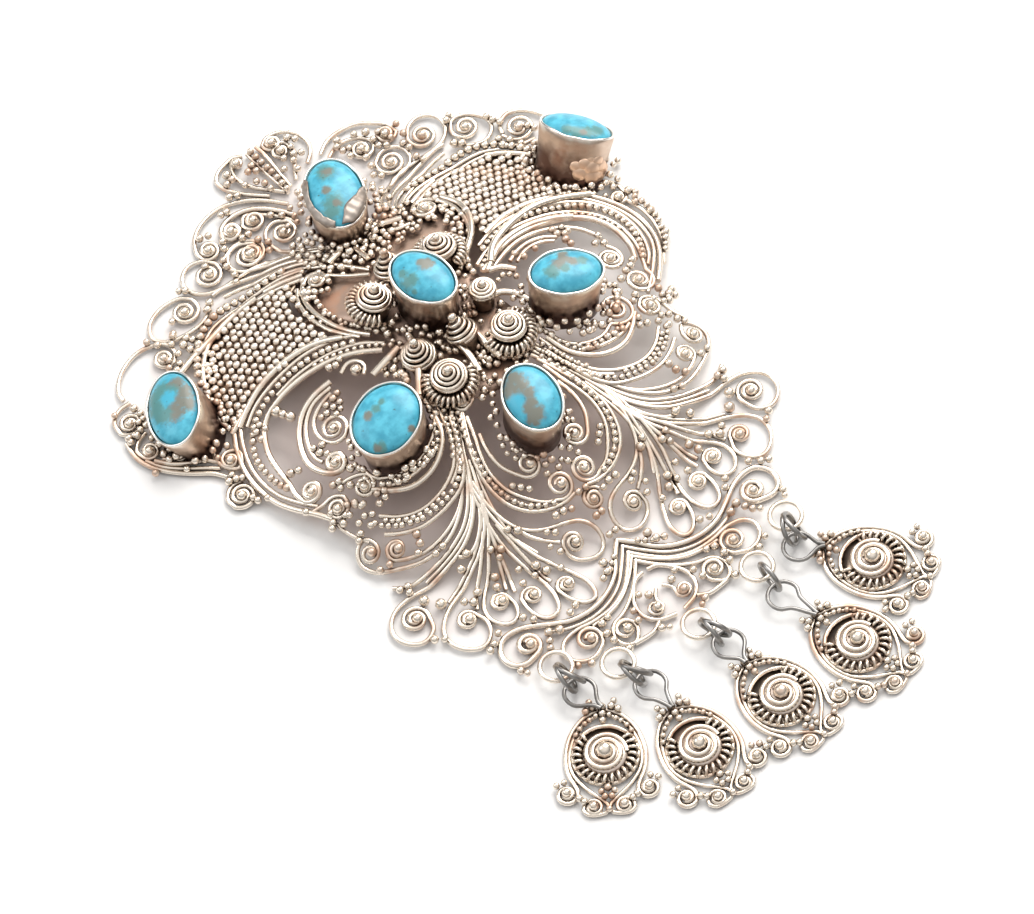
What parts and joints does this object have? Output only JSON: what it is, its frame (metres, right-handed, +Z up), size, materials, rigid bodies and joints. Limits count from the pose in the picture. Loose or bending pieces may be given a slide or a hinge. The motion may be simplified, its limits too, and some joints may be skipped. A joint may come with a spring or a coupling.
{
  "type": "filigree brooch",
  "caption": "Domed openwork brooch of scrolled wire with oval cabochons in tall cups, small drops on rings along its lower edge and a pin behind.",
  "frame": {"origin": "middle of the whole brooch's box, on the surface that it lies on", "axes": "+X across the brooch to its right wing, +Y from the drops to the crest, +Z up out of its face"},
  "size_m": [0.0652, 0.1012, 0.014],
  "materials": {
    "silver": "warm tarnished silver wire",
    "dark_wire": "dark oxidised wire",
    "turquoise": "polished blue stone with grey brown veins"
  },
  "bodies": {
    "root": {"plate": "silver", "back_pin": "silver", "drop_1": "silver", "drop_2": "silver", "drop_3": "silver", "drop_4": "silver", "drop_5": "silver", "jump_ring_1": "dark_wire", "jump_ring_2": "dark_wire", "jump_ring_3": "dark_wire", "jump_ring_4": "dark_wire", "jump_ring_5": "dark_wire", "stone_top": "turquoise", "stone_middle": "turquoise", "stone_low": "turquoise", "stone_right_wing": "turquoise", "stone_left_wing": "turquoise", "stone_right_side": "turquoise", "stone_left_side": "turquoise"}
  },
  "joints": []
}
